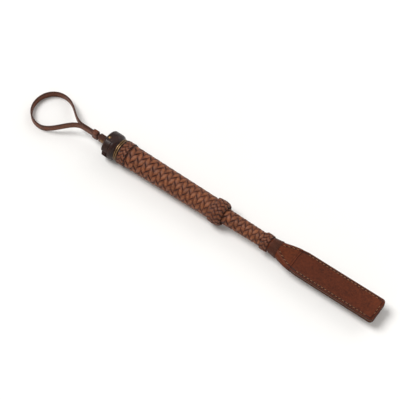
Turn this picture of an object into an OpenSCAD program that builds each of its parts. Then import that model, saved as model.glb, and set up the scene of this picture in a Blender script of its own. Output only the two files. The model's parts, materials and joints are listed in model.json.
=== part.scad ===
// Short riding crop (jumping bat): plaited leather grip, flexing shaft, two-leaf flapper and wrist loop.
// The crop lies along +X with its butt towards -X. It rests on z = 0 on the butt cap's lower flat,
// the lower knot and the far edge of the wrist loop. The origin is the middle of that footprint.
// Sizes are in millimetres. Inside the modules x runs from the butt and z = 0 is the crop's axis.

/* [Crop] */
// Length from the butt cap's dome to the end of the flapper
crop_len = 406; // [396:1:440]
// Height of the crop's axis above the surface it lies on
rest_h = 16.5; // [16.2:0.1:17]

/* [Butt cap] */
// Largest radius of the cap
cap_r = 17.5; // [17.2:0.1:18.5]
// Length of the cap, dome included
cap_len = 22; // [21:0.5:24]
// Radius of the cap's domed end
dome_r = 30; // [26:1:40]
// Radius of the edge between the dome and the cap's side
cap_edge_r = 3; // [2:0.5:4]
// Length of the metal ferrule behind the cap
ferrule_len = 5; // [4:0.5:6]

/* [Grip] */
// Length of the plaited grip, knots included
grip_len = 152; // [140:1:160]
// Radius of the plaited grip at the butt
grip_r1 = 15.2; // [14.8:0.1:15.6]
// Radius of the plaited grip at its lower end
grip_r2 = 13.6; // [13.2:0.1:14.4]
// Thickness of a plaited leather cover
braid_t = 2; // [1.6:0.1:2.4]
// Thickness of the smooth leather liner under the plait
liner_t = 1.2; // [0.8:0.1:1.6]
// Length of each plaited knot
knot_len = 13; // [11:0.5:15]

/* [Shaft] */
// Radius of the plaited shaft below the grip
shaft_r1 = 10.4; // [10:0.1:11]
// Radius of the plaited shaft where it flexes
shaft_r2 = 9.4; // [9:0.1:9.8]
// Length of the shaft from the grip to the place where it flexes
shaft_len = 57; // [50:1:64]
// Radius of the fibreglass rod at the butt
rod_r1 = 4.5; // [4.2:0.1:4.8]
// Radius of the fibreglass rod at its tip
rod_r2 = 3.2; // [3:0.1:3.4]
// Largest bend of the shaft each way, in degrees
flex_max = 20; // [10:1:22]

/* [Flapper] */
// Width of the flapper
flap_w = 33; // [30:1:36]
// Length of the free leaves
leaf_len = 115; // [105:1:130]
// Thickness of a leaf's grain-leather face
face_t = 2; // [1.8:0.1:2.2]
// Thickness of a leaf's suede lining
lining_t = 1.4; // [1.2:0.1:1.6]
// Distance between neighbouring stitches
stitch_pitch = 5; // [4:0.5:6]

/* [Wrist loop] */
// Width of the wrist strap
strap_w = 10; // [9:0.5:10]
// Thickness of the wrist strap
strap_t = 2; // [1.8:0.1:2.1]
// Distance from the pin to the far end of the loop
loop_len = 122; // [116:1:140]
// Half of the loop's width at its widest
loop_half_w = 27; // [24:1:30]
// Radius of the pin that the loop swings on
pin_r = 2; // [1.8:0.1:2.1]

/* [Hidden] */
$fn = 64;
gap = 0.3;          // clearance between bodies that move past each other
fit_gap = 0.08;     // running clearance of the pin and the bores around the rod

// Places along the crop's axis, from the butt
pin_x = 8;
slot_end = 14.5;    // floor of the cap's slot
rod_start = 15.5;
ferrule_end = cap_len + ferrule_len;
grip_end = ferrule_end + grip_len;
lower_knot_x = grip_end - knot_len;
flex_x = grip_end + shaft_len;
shaft_end = flex_x - 0.2;
flex_room = 1.3;    // what is left between belly and neck at the largest bend
neck_x = flex_x + (shaft_r2 - braid_t) * tan(flex_max) + flex_room;
leaf_x = crop_len - leaf_len;   // hinge line of the leaves
leaf_t = face_t + lining_t;
neck_end = leaf_x - leaf_t / 2 - gap;
rod_end = neck_x + 28;

// Heights across the leaves, from the crop's axis
leaf_gap = gap / 2;
leaf_mid = leaf_gap + leaf_t / 2;

// Butt
ferrule_r = 14.9;
cap_edge_x = dome_r - sqrt(pow(dome_r - cap_edge_r, 2) - pow(cap_r - cap_edge_r, 2));
cap_back_r = 6;     // roundness of the cap where it narrows to the ferrule
cap_back_step = 3;
arc_steps = 6;
core_r1 = grip_r1 - braid_t - liner_t;
core_r2 = grip_r2 - braid_t - liner_t;
slot_h = strap_w + 2 * gap;
pin_recess = 0.4;

// Knots
butt_knot_r = rest_h - 0.5;
knot_edge_r = 1.8;
nose_len = 5;
nose_t = 1.2;       // what is left of the nose where it meets the shaft

// Neck
collar_r = 11.5;
collar_len = 12;
collar_end = neck_x + collar_len;
collar_edge_r = 1.1;
neck_r = 9.2;
neck_wall = 2;
mouth_h = 2 * (leaf_gap + leaf_t) + 1.2;
neck_sides = 32;
neck_steps = 12;
binding_x = collar_end + 1;
binding_len = 12;

// Flapper stitching
corner_r = 5;
stitch_inset = 3;
stitch_len = 3.4;
stitch_w = 0.9;
stitch_t = 0.5;
stitch_x1 = leaf_x + 8;
stitch_x2 = crop_len - stitch_inset;
stitch_y = flap_w / 2 - stitch_inset;

// Wrist loop, as distances from the pin towards -X
tab_t = 1.8;
eye_r = pin_r + fit_gap;
tab_half = strap_t + fit_gap + tab_t;
tab_len = 17;
strap_start = 4.6;
rivet_u = 11;
rivet_r = 1.5;
rivet_head_r = 3.2;
rivet_head_t = 1;
keeper_u = 19.5;
keeper_len = 8;
keeper_t = 1.6;
straight_len = 44;  // the two runs lie side by side up to here
wide_u = loop_len - loop_half_w;
bezier_round = 0.5523;  // handle length that makes a cubic follow a quarter circle
curve_steps = 14;

// The middle of the footprint, along the axis
loop_back = pin_x - loop_len;
loop_far_u = loop_len - strap_t / 2;
mid_x = (crop_len + loop_back) / 2;

// ---- Helpers ----

// Eases from 0 to 1, level at both ends
function smooth(t) = t * t * (3 - 2 * t);

// Moves a child from the crop's own axis into the frame that the crop lies in
module placed() translate([-mid_x, 0, rest_h]) children();

// Turns a child that is built along +Z so that it starts at x and runs along +X
module along_x(x) translate([x, 0, 0]) rotate([0, 90, 0]) children();

// Cone or cylinder along the axis from x1 to x2
module round_bar(x1, x2, r1, r2) along_x(x1) cylinder(h = x2 - x1, r1 = r1, r2 = r2);

// Hollow tapered sleeve: outer radii r1 and r2, with a wall of thickness t
module sleeve(x1, x2, r1, r2, t) {
    slope = (r2 - r1) / (x2 - x1);
    difference() {
        round_bar(x1, x2, r1, r2);
        round_bar(x1 - 1, x2 + 1, r1 - t - slope, r2 - t + slope);
    }
}

// Ring with rounded outer edges
module rounded_ring(x, len, r_in, r_out, edge_r) along_x(x) rotate_extrude() {
    translate([r_in, 0]) square([r_out - edge_r - r_in, len]);
    translate([r_in, edge_r]) square([r_out - r_in, len - 2 * edge_r]);
    for (h = [edge_r, len - edge_r]) translate([r_out - edge_r, h]) circle(edge_r);
}

// Radius of the rod, grip and shaft at a place along the axis
function rod_r(x) = rod_r1 + (rod_r2 - rod_r1) * (x - rod_start) / (rod_end - rod_start);
function grip_r(x) = grip_r1 + (grip_r2 - grip_r1) * (x - ferrule_end) / grip_len;
function shaft_r(x) = shaft_r1 + (shaft_r2 - shaft_r1) * (x - grip_end) / shaft_len;

// Bore for the rod through whatever surrounds it
module rod_bore(x1, x2)
    round_bar(x1, x2, rod_r(x1) + fit_gap, rod_r(x2) + fit_gap);

// ---- Butt ----

// Half section of the cap: a dome, a rounded edge, a straight side and a rounded back
module cap_profile() {
    dome_a = asin((cap_r - cap_edge_r) / (dome_r - cap_edge_r));
    back_a = acos((cap_back_r - cap_back_step) / cap_back_r);
    polygon(concat([[0, cap_len], [0, 0]],
        [for (i = [1 : arc_steps]) let (a = dome_a * i / arc_steps)
            dome_r * [sin(a), 1 - cos(a)]],
        [for (i = [1 : arc_steps]) let (a = dome_a + (90 - dome_a) * i / arc_steps)
            [cap_r - cap_edge_r + cap_edge_r * sin(a), cap_edge_x - cap_edge_r * cos(a)]],
        [for (i = [0 : arc_steps]) let (a = back_a * i / arc_steps)
            [cap_r - cap_back_r + cap_back_r * cos(a), cap_len - cap_back_r + cap_back_r * sin(a)]],
        [[cap_r - cap_back_step, cap_len]]));
}

module butt_cap() color([0.23, 0.10, 0.05]) difference() {
    along_x(0) rotate_extrude() cap_profile();
    // slot for the loop's tab
    translate([-1, -cap_r - 1, -slot_h / 2]) cube([slot_end + 1, 2 * cap_r + 2, slot_h]);
    // upper and lower flats: the pin's seats, and the face that the crop rests on
    for (s = [-1, 1]) translate([-1, -cap_r, s * (rest_h + cap_r) - cap_r])
        cube([cap_len + 2, 2 * cap_r, 2 * cap_r]);
    translate([pin_x, 0, -cap_r]) cylinder(h = 2 * cap_r, r = pin_r);
    round_bar(rod_start - fit_gap, cap_len + 1, rod_r1 + fit_gap, rod_r1 + fit_gap);
}

module loop_pin() color([0.42, 0.30, 0.18])
    translate([pin_x, 0, -rest_h + pin_recess]) cylinder(h = 2 * (rest_h - pin_recess), r = pin_r);

module butt_ferrule() color([0.42, 0.30, 0.18])
    rounded_ring(cap_len, ferrule_len, core_r1, ferrule_r, 1);

// ---- Rod and grip ----

module core_rod() color([0.75, 0.72, 0.60])
    round_bar(rod_start, rod_end, rod_r1, rod_r2);

module handle_core() color([0.30, 0.22, 0.16]) difference() {
    union() {
        round_bar(cap_len, ferrule_end, core_r1, core_r1);
        round_bar(ferrule_end, grip_end, core_r1, core_r2);
    }
    rod_bore(cap_len - 1, grip_end + 1);
}

module grip_liner() color([0.18, 0.09, 0.06])
    sleeve(ferrule_end, grip_end, core_r1 + liner_t, core_r2 + liner_t, liner_t);

module grip_braid() color([0.36, 0.19, 0.13])
    sleeve(ferrule_end, grip_end, grip_r1, grip_r2, braid_t);

module butt_knot() color([0.30, 0.15, 0.10]) difference() {
    knot_end = ferrule_end + knot_len;
    rounded_ring(ferrule_end, knot_len, grip_r2, butt_knot_r, knot_edge_r);
    round_bar(ferrule_end - 1, knot_end + 1, grip_r(ferrule_end - 1), grip_r(knot_end + 1));
}

// The lower knot covers the end of the grip and closes on to the shaft
module lower_knot() color([0.30, 0.15, 0.10]) difference() {
    nose_end = grip_end + nose_len;
    union() {
        rounded_ring(lower_knot_x, knot_len, shaft_r2, rest_h, knot_edge_r);
        round_bar(grip_end, nose_end, rest_h - knot_edge_r, shaft_r(nose_end) + nose_t);
    }
    round_bar(lower_knot_x - 1, grip_end, grip_r(lower_knot_x - 1), grip_r(grip_end));
    round_bar(grip_end - 1, nose_end + 1, shaft_r(grip_end - 1), shaft_r(nose_end + 1));
}

// ---- Shaft ----

// Stiff leather round the rod, which ends where the shaft flexes
module shaft_belly() color([0.45, 0.30, 0.20]) difference() {
    round_bar(grip_end, shaft_end, shaft_r(grip_end) - braid_t, shaft_r(shaft_end) - braid_t);
    rod_bore(grip_end - 1, shaft_end + 1);
}

// Plaited cover, which bends with the rod between the belly and the neck
module shaft_braid() color([0.36, 0.19, 0.13])
    sleeve(grip_end, neck_x - fit_gap, shaft_r(grip_end), shaft_r(neck_x - fit_gap), braid_t);

// ---- Neck of the flapper ----

// Half of the neck's height and width at x: round as far as the collar's end, then eased to the mouth
function neck_share(x) = smooth(max(0, min(1, (x - collar_end) / (neck_end - collar_end))));
function neck_half_h(x) = neck_r + (mouth_h / 2 - neck_r) * neck_share(x);
function neck_half_w(x) = neck_r + (flap_w / 2 - neck_r) * neck_share(x);

// Outline of the neck at x, grown or shrunk all round by d: two half circles and the flats between
function neck_outline(x, d) = [for (k = [0 : neck_sides - 1])
    let (a = 360 * (k + 0.5) / neck_sides, flat = neck_half_w(x) - neck_half_h(x))
    [x, sign(cos(a)) * flat + (neck_half_h(x) + d) * cos(a), (neck_half_h(x) + d) * sin(a)]];

// The neck's form, which runs past both of its ends by over
module neck_form(d, over = 0) {
    xs = concat([neck_x - over],
        [for (i = [0 : neck_steps - 1]) collar_end + (neck_end - collar_end) * i / neck_steps],
        [neck_end + over]);
    last = (len(xs) - 1) * neck_sides;
    polyhedron(
        [for (x = xs) each neck_outline(x, d)],
        concat([[for (k = [0 : neck_sides - 1]) k]],
            [for (i = [0 : len(xs) - 2], k = [0 : neck_sides - 1])
                let (a = i * neck_sides, next = (k + 1) % neck_sides)
                [a + k, a + neck_sides + k, a + neck_sides + next, a + next]],
            [[for (k = [neck_sides - 1 : -1 : 0]) last + k]]),
        convexity = 4);
}

module neck_filler() color([0.45, 0.30, 0.20]) difference() {
    neck_form(-neck_wall);
    rod_bore(neck_x - 1, rod_end + 0.5);
}

module neck_sleeve() color([0.27, 0.12, 0.07]) difference() {
    neck_form(0);
    neck_form(-neck_wall, over = 1);
}

module neck_collar() color([0.30, 0.15, 0.10])
    rounded_ring(neck_x, collar_len, neck_r, collar_r, collar_edge_r);

// Whipping of waxed thread where the leather starts to widen
module neck_binding() color([0.24, 0.12, 0.08]) difference() {
    intersection() {
        neck_form(1);
        round_bar(binding_x, binding_x + binding_len, flap_w, flap_w);
    }
    neck_form(0);
}

// One stitch lying along the neck's edge or a leaf's edge
module stitch(t) translate([-stitch_len / 2, -stitch_w / 2, 0]) cube([stitch_len, stitch_w, t]);

module neck_stitching() color([0.50, 0.33, 0.22]) {
    first = binding_x + binding_len + 3;
    count = floor((neck_end - 4 - first) / stitch_pitch);
    for (i = [0 : count], s = [-1, 1], side = [0, 1]) {
        x = first + i * stitch_pitch;
        tilt = atan((neck_half_h(x - 1) - neck_half_h(x + 1)) / 2);
        mirror([0, 0, side]) translate([x, s * (neck_half_w(x) - neck_half_h(x)), neck_half_h(x) + 0.06])
            rotate([0, tilt, 0]) stitch(stitch_t);
    }
}

// ---- Leaves ----

// Side view of a whole leaf, with a half-round root on the hinge line
module leaf_profile() {
    translate([leaf_x, leaf_mid]) circle(leaf_t / 2);
    translate([leaf_x, leaf_gap]) square([leaf_len, leaf_t]);
}

// Plan of a leaf: straight sides and a blunt end with rounded corners
module leaf_plan() {
    back = leaf_x - leaf_t;
    translate([back, -flap_w / 2]) square([crop_len - corner_r - back, flap_w]);
    translate([back, -flap_w / 2 + corner_r]) square([crop_len - back, flap_w - 2 * corner_r]);
    for (s = [-1, 1]) translate([crop_len - corner_r, s * (flap_w / 2 - corner_r)]) circle(corner_r);
}

// The layer of the upper leaf between two heights above the crop's axis
module leaf_layer(z1, z2) intersection() {
    translate([0, flap_w, 0]) rotate([90, 0, 0]) linear_extrude(2 * flap_w) intersection() {
        leaf_profile();
        translate([leaf_x - leaf_t, z1]) square([leaf_len + 2 * leaf_t, z2 - z1]);
    }
    linear_extrude(leaf_gap + leaf_t + 1) leaf_plan();
}

// Saddle stitches along both sides and across the blunt end, lying on the leaf's face
module leaf_stitches() translate([0, 0, leaf_gap + leaf_t]) {
    along = floor((stitch_x2 - corner_r - stitch_x1) / stitch_pitch);
    for (i = [0 : along], s = [-1, 1])
        translate([stitch_x1 + i * stitch_pitch, s * stitch_y, 0]) stitch(stitch_t);
    across = floor((stitch_y - corner_r) / stitch_pitch);
    for (i = [-across : across])
        translate([stitch_x2, i * stitch_pitch, 0]) rotate(90) stitch(stitch_t);
}

module leaf_top() color([0.24, 0.09, 0.05]) leaf_layer(leaf_gap + lining_t, leaf_gap + leaf_t);
module leaf_top_lining() color([0.36, 0.22, 0.15]) leaf_layer(leaf_gap, leaf_gap + lining_t);
module leaf_top_stitching() color([0.50, 0.33, 0.22]) leaf_stitches();
module leaf_bottom() mirror([0, 0, 1]) leaf_top();
module leaf_bottom_lining() mirror([0, 0, 1]) leaf_top_lining();
module leaf_bottom_stitching() mirror([0, 0, 1]) leaf_top_stitching();

// ---- Wrist loop ----

// Leather tab folded round the pin, with the strap's ends between its two sides
module loop_tab() color([0.30, 0.15, 0.10]) translate([pin_x, 0, -strap_w / 2]) difference() {
    union() {
        cylinder(h = strap_w, r = tab_half);
        translate([-tab_len, -tab_half, 0]) cube([tab_len, 2 * tab_half, strap_w]);
    }
    translate([0, 0, -1]) cylinder(h = strap_w + 2, r = eye_r);
    translate([-tab_len - 1, -tab_half + tab_t, -1])
        cube([tab_len + 1 - strap_start + gap, 2 * (tab_half - tab_t), strap_w + 2]);
    translate([-rivet_u, -tab_half - 1, strap_w / 2]) rotate([-90, 0, 0])
        cylinder(h = 2 * tab_half + 2, r = rivet_r + fit_gap);
}

module tab_rivet() color([0.42, 0.30, 0.18]) translate([pin_x - rivet_u, 0, 0]) rotate([90, 0, 0]) {
    cylinder(h = 2 * tab_half + rivet_head_t, r = rivet_r, center = true);
    for (s = [0, 1]) mirror([0, 0, s]) translate([0, 0, tab_half])
        cylinder(h = rivet_head_t, r1 = rivet_head_r, r2 = rivet_head_r - 0.8);
}

// Cubic curve through four control points
function cubic(p, t) = pow(1 - t, 3) * p[0] + 3 * pow(1 - t, 2) * t * p[1]
    + 3 * (1 - t) * t * t * p[2] + pow(t, 3) * p[3];

run_y = strap_t / 2 + fit_gap / 2;
flare = [[straight_len, run_y], [straight_len + 18, run_y], [wide_u - 20, loop_half_w],
    [wide_u, loop_half_w]];
bow = [[wide_u, loop_half_w], [wide_u + bezier_round * loop_half_w, loop_half_w],
    [loop_far_u, bezier_round * loop_half_w], [loop_far_u, 0]];

// How far the strap has sunk towards the surface at distance u from the pin
function sink(u) = (rest_h - strap_w / 2)
    * smooth(max(0, min(1, (u - straight_len) / (wide_u - straight_len))));

// Half of the strap's centre line in plan, from the tab to the far end, then the whole of it
half_line = concat([[strap_start, run_y]],
    [for (i = [0 : curve_steps]) cubic(flare, i / curve_steps)],
    [for (i = [1 : curve_steps]) cubic(bow, i / curve_steps)]);
line_count = len(half_line);
strap_line = concat(half_line,
    [for (i = [line_count - 2 : -1 : 0]) [half_line[i][0], -half_line[i][1]]]);

module wrist_strap() color([0.30, 0.15, 0.10]) difference() {
    n = len(strap_line);
    points = [for (i = [0 : n - 1]) let (
            p = strap_line[i],
            before = strap_line[max(i - 1, 0)],
            after = strap_line[min(i + 1, n - 1)],
            d = (after - before) / norm(after - before),
            side = [-d[1], d[0]] * strap_t / 2
        ) each [for (c = [[1, 1], [-1, 1], [-1, -1], [1, -1]])
            [pin_x - p[0] - side[0] * c[0], p[1] + side[1] * c[0],
                -sink(p[0]) + c[1] * strap_w / 2]]];
    faces = concat([[0, 1, 2, 3]],
        [for (i = [0 : n - 2], k = [0 : 3])
            [4 * i + k, 4 * (i + 1) + k, 4 * (i + 1) + (k + 1) % 4, 4 * i + (k + 1) % 4]],
        [[for (k = [3 : -1 : 0]) 4 * (n - 1) + k]]);
    polyhedron(points, faces, convexity = 4);
    translate([pin_x - rivet_u, 0, 0]) rotate([90, 0, 0])
        cylinder(h = 6 * strap_t, r = rivet_r + fit_gap, center = true);
}

// Band that slides along the two runs of the strap and sets the loop's size
module loop_keeper() color([0.27, 0.12, 0.07])
    translate([pin_x - keeper_u - keeper_len, 0, 0]) difference() {
        half_y = strap_t + 2 * fit_gap;
        half_z = strap_w / 2 + fit_gap;
        translate([0, -half_y - keeper_t, -half_z - keeper_t])
            cube([keeper_len, 2 * (half_y + keeper_t), 2 * (half_z + keeper_t)]);
        translate([-1, -half_y, -half_z]) cube([keeper_len + 2, 2 * half_y, 2 * half_z]);
    }

placed() butt_cap();
placed() loop_pin();
placed() butt_ferrule();
placed() core_rod();
placed() handle_core();
placed() grip_liner();
placed() grip_braid();
placed() butt_knot();
placed() lower_knot();
placed() shaft_belly();
placed() shaft_braid();
placed() neck_collar();
placed() neck_sleeve();
placed() neck_filler();
placed() neck_binding();
placed() neck_stitching();
placed() leaf_top();
placed() leaf_top_lining();
placed() leaf_top_stitching();
placed() leaf_bottom();
placed() leaf_bottom_lining();
placed() leaf_bottom_stitching();
placed() loop_tab();
placed() tab_rivet();
placed() wrist_strap();
placed() loop_keeper();
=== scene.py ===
"""A short riding crop: plaited grip and shaft, flapper of two leaves, and a wrist loop.

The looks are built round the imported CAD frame. Everything is in metres, with the crop along +X
and its butt towards -X, resting on z = 0.
"""

import json
import math
import random

import bmesh
import bpy
import numpy as np
from mathutils import Matrix, Vector


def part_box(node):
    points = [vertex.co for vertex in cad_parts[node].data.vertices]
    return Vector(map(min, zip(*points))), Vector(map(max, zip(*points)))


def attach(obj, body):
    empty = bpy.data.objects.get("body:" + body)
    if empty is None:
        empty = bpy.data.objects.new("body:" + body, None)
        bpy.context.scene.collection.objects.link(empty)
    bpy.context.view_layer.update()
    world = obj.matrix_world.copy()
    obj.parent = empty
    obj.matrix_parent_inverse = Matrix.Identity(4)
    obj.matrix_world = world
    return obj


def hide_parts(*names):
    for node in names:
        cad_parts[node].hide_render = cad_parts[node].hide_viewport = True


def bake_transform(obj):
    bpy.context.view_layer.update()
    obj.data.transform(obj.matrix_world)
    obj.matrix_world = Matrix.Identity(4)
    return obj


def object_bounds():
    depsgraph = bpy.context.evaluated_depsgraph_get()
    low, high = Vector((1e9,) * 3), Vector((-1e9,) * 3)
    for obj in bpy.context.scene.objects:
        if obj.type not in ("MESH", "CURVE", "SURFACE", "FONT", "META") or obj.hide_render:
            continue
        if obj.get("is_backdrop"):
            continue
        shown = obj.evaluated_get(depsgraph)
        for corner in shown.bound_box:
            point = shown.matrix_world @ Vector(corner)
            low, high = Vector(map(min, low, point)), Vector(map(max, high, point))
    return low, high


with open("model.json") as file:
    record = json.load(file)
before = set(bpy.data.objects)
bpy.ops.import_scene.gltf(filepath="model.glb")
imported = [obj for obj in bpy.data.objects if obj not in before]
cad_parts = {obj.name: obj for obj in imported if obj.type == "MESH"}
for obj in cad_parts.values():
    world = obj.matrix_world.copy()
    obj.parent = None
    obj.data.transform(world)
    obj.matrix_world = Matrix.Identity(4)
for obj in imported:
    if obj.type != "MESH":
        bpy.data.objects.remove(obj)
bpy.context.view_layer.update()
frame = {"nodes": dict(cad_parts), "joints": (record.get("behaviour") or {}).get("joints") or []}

MM = 0.001
X, Y, Z = np.eye(3)
SCENE = bpy.context.scene
rng = random.Random(7)


# ---- Places, read from the frame ----

def span(node):
    """Lowest and highest corner of a CAD node, as arrays."""
    low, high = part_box(node)
    return np.array(low), np.array(high)


def joint(name):
    """The joint of that name in the record."""
    return next(j for j in frame["joints"] if j["name"] == name)


def node_points(node):
    """The CAD node's points as an array."""
    return np.array([v.co for v in frame["nodes"][node].data.vertices])


AXIS_Z = float((span("core_rod")[0][2] + span("core_rod")[1][2]) / 2)


def end_radius(node, high_end):
    """Outer radius about the crop's axis of a CAD node's low or high end face."""
    points = node_points(node)
    edge = points[:, 0].max() if high_end else points[:, 0].min()
    face = points[abs(points[:, 0] - edge) < 0.05 * MM]
    return float(np.hypot(face[:, 1], face[:, 2] - AXIS_Z).max())


def around(count):
    """Angles of evenly spaced places round a circle."""
    return np.linspace(0, 2 * math.pi, count, endpoint=False)


def eased(share):
    """Eases from 0 to 1, level at both ends."""
    return share * share * (3 - 2 * share)


def edited(mesh, change):
    """Changes a mesh in place by change(work)."""
    work = bmesh.new()
    work.from_mesh(mesh)
    change(work)
    work.to_mesh(mesh)
    work.free()


def islands(node):
    """The separate solids of a CAD node, each as an array of its points."""
    work = bmesh.new()
    work.from_mesh(frame["nodes"][node].data)
    bmesh.ops.remove_doubles(work, verts=work.verts, dist=0.01 * MM)
    left, found = set(work.verts), []
    while left:
        todo, group = [left.pop()], []
        while todo:
            vert = todo.pop()
            group.append(tuple(vert.co))
            for edge in vert.link_edges:
                other = edge.other_vert(vert)
                if other in left:
                    left.remove(other)
                    todo.append(other)
        found.append(np.array(group))
    work.free()
    return sorted(found, key=lambda g: tuple(np.round(g.mean(0), 5)))


# ---- Materials ----

def shader(name, roughness, metallic=0.0, coat=0.0, sheen=0.0, shine=0.25):
    """A new material with its node tree, its shader, and its object coordinates."""
    mat = bpy.data.materials.new(name)
    mat.use_nodes = True
    tree = mat.node_tree
    bsdf = tree.nodes["Principled BSDF"]
    bsdf.inputs["Roughness"].default_value = roughness
    bsdf.inputs["Metallic"].default_value = metallic
    bsdf.inputs["Specular IOR Level"].default_value = shine
    bsdf.inputs["Coat Weight"].default_value = coat
    bsdf.inputs["Coat Roughness"].default_value = 0.35
    bsdf.inputs["Sheen Weight"].default_value = sheen
    bsdf.inputs["Sheen Roughness"].default_value = 0.6
    coords = tree.nodes.new("ShaderNodeTexCoord").outputs["Object"]
    return mat, tree, bsdf, coords


def linear(rgb):
    """A colour given as 0-255 sRGB, as the linear colour that sockets take."""
    share = [c / 255 for c in rgb]
    return [c / 12.92 if c <= 0.04045 else ((c + 0.055) / 1.055) ** 2.4 for c in share] + [1.0]


def noise_at(tree, coords, feature, detail=3.0, stretch=(1, 1, 1), rough=0.55):
    """Noise whose features are about that many metres across, or longer along a stretched axis."""
    mapping = tree.nodes.new("ShaderNodeMapping")
    mapping.inputs["Scale"].default_value = [1 / s for s in stretch]
    tree.links.new(coords, mapping.inputs["Vector"])
    tex = tree.nodes.new("ShaderNodeTexNoise")
    tex.inputs["Scale"].default_value = 1 / feature
    tex.inputs["Detail"].default_value = detail
    tex.inputs["Roughness"].default_value = rough
    tree.links.new(mapping.outputs["Vector"], tex.inputs["Vector"])
    return tex.outputs["Fac"]


def cells_at(tree, coords, feature):
    """Distance to the edges of pebble-like cells about that many metres across."""
    tex = tree.nodes.new("ShaderNodeTexVoronoi")
    tex.feature = "DISTANCE_TO_EDGE"
    tex.inputs["Scale"].default_value = 1 / feature
    tree.links.new(coords, tex.inputs["Vector"])
    return tex.outputs["Distance"]


def ramp(tree, value, low, high, out_low=0.0, out_high=1.0):
    """value remapped from low..high to out_low..out_high, held at its ends."""
    node = tree.nodes.new("ShaderNodeMapRange")
    settings = {"From Min": low, "From Max": high, "To Min": out_low, "To Max": out_high}
    for key, setting in settings.items():
        node.inputs[key].default_value = setting
    tree.links.new(value, node.inputs["Value"])
    return node.outputs["Result"]


def mixed(tree, factor, a, b):
    """Two colours mixed by factor. Each is a 0-255 sRGB colour or a socket."""
    node = tree.nodes.new("ShaderNodeMix")
    node.data_type = "RGBA"
    for socket, colour in ((node.inputs[6], a), (node.inputs[7], b)):
        if isinstance(colour, tuple):
            socket.default_value = linear(colour)
        else:
            tree.links.new(colour, socket)
    tree.links.new(factor, node.inputs[0])
    return node.outputs[2]


def times(tree, a, b):
    """Product of two values."""
    node = tree.nodes.new("ShaderNodeMath")
    node.operation = "MULTIPLY"
    tree.links.new(a, node.inputs[0])
    tree.links.new(b, node.inputs[1])
    return node.outputs[0]


def attribute(tree, name):
    """A piece's own value at each point."""
    node = tree.nodes.new("ShaderNodeAttribute")
    node.attribute_name = name
    return node.outputs["Fac"]


def bumped(tree, bsdf, layers):
    """Relief from (height, strength, distance) layers, one over the other."""
    normal = None
    for height, strength, distance in layers:
        node = tree.nodes.new("ShaderNodeBump")
        node.inputs["Strength"].default_value = strength
        node.inputs["Distance"].default_value = distance
        tree.links.new(height, node.inputs["Height"])
        if normal:
            tree.links.new(normal, node.inputs["Normal"])
        normal = node.outputs["Normal"]
    tree.links.new(normal, bsdf.inputs["Normal"])


def leather(name, deep, base, wear_and_highlight, roughness=0.5, grain=0.8 * MM, relief=0.35, coat=0.05,
            toned=True, scratches=0.0, shine=0.25):
    """Grained leather: painted shade in recesses and edges, and crowns lightened by wear and a painted
    highlight, where a piece's tone says so.
    """
    mat, tree, bsdf, coords = shader(name, roughness, coat=coat, shine=shine)
    patches = noise_at(tree, coords, 14 * MM, 4)
    mottle = noise_at(tree, coords, 2.4 * MM, 5, rough=0.65)
    cells = cells_at(tree, coords, grain)
    fine = noise_at(tree, coords, 0.35 * MM, 3)
    colour = mixed(tree, ramp(tree, mottle, 0.32, 0.7), deep, base)
    colour = mixed(tree, ramp(tree, patches, 0.35, 0.68, 0.15, 0.75), colour, base)
    if toned:
        tone = attribute(tree, "tone")
        tint = attribute(tree, "tint")
        # A low tone paints shade: recesses, strand edges and strands that pass under others go towards
        # the deep colour.
        colour = mixed(tree, ramp(tree, tone, 0.0, 0.55, 1.0, 0.0), colour, deep)
        # A high tone lightens the crowns, partly wear and partly a painted highlight, broken up by the
        # mottle.
        crown = times(tree, ramp(tree, tone, 0.55, 1.0), ramp(tree, mottle, 0.35, 0.65, 0.35, 1.0))
        colour = mixed(tree, crown, colour, wear_and_highlight)
        colour = mixed(tree, ramp(tree, tint, 0.0, 1.0, 0.0, 0.35), colour, deep)
    else:
        colour = mixed(tree, ramp(tree, patches, 0.55, 0.8, 0.0, 0.7), colour, wear_and_highlight)
    pores = ramp(tree, cells, 0.0, 0.12)
    colour = mixed(tree, ramp(tree, cells, 0.0, 0.07, 0.35, 0.0), colour, deep)
    layers = [(pores, relief, 0.12 * MM), (fine, relief * 0.5, 0.06 * MM)]
    if scratches:
        lines = noise_at(tree, coords, 0.5 * MM, 2, stretch=(22, 1, 1))
        marks = ramp(tree, lines, 0.66, 0.72)
        colour = mixed(tree, ramp(tree, lines, 0.66, 0.74, 0.0, scratches), colour, wear_and_highlight)
        layers.append((marks, 0.25, 0.05 * MM))
    tree.links.new(colour, bsdf.inputs["Base Color"])
    rough = ramp(tree, mottle, 0.3, 0.7, roughness - 0.09, roughness + 0.12)
    tree.links.new(rough, bsdf.inputs["Roughness"])
    bumped(tree, bsdf, layers)
    return mat


def suede(name, deep, base):
    """Napped flesh side: soft fibres, and brushed patches darkened by up to half."""
    mat, tree, bsdf, coords = shader(name, 0.92, sheen=0.08, shine=0.15)
    nap = noise_at(tree, coords, 0.45 * MM, 6, rough=0.75)
    brushed = noise_at(tree, coords, 9 * MM, 3, stretch=(2.5, 1, 1))
    colour = mixed(tree, ramp(tree, nap, 0.3, 0.72), deep, base)
    colour = mixed(tree, ramp(tree, brushed, 0.45, 0.65, 0.0, 0.5), colour, (1, 1, 1))
    tree.links.new(colour, bsdf.inputs["Base Color"])
    bumped(tree, bsdf, [(nap, 0.8, 0.15 * MM)])
    return mat


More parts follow.
